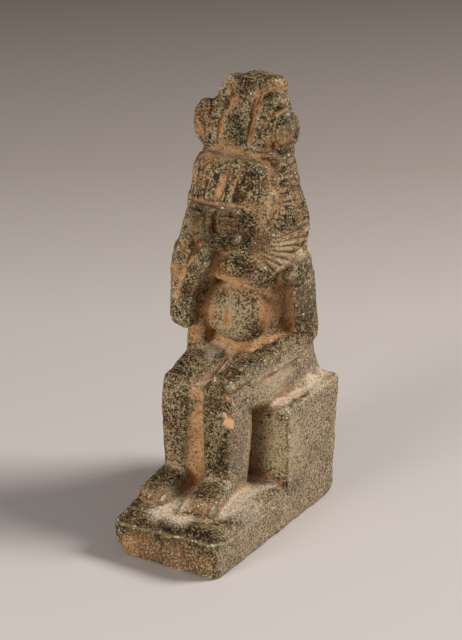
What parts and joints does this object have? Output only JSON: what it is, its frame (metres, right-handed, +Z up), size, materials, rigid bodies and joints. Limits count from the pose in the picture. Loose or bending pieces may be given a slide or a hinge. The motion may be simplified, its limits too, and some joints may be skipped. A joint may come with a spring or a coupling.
{
  "type": "seated child god statuette",
  "caption": "Small stone statuette of a seated child god in a tall plumed crown, a hand at the mouth, on a block seat and plinth cut from the same stone.",
  "frame": {"origin": "middle of the underside of the plinth", "axes": "+Z up along the height, the figure faces -Y, its left side is towards +X"},
  "size_m": [0.0268, 0.0536, 0.1],
  "materials": {
    "stone": "speckled dark green-grey stone, worn matt, with orange-brown earth left in the hollows"
  },
  "bodies": {
    "root": {"statuette": "stone"}
  },
  "joints": []
}
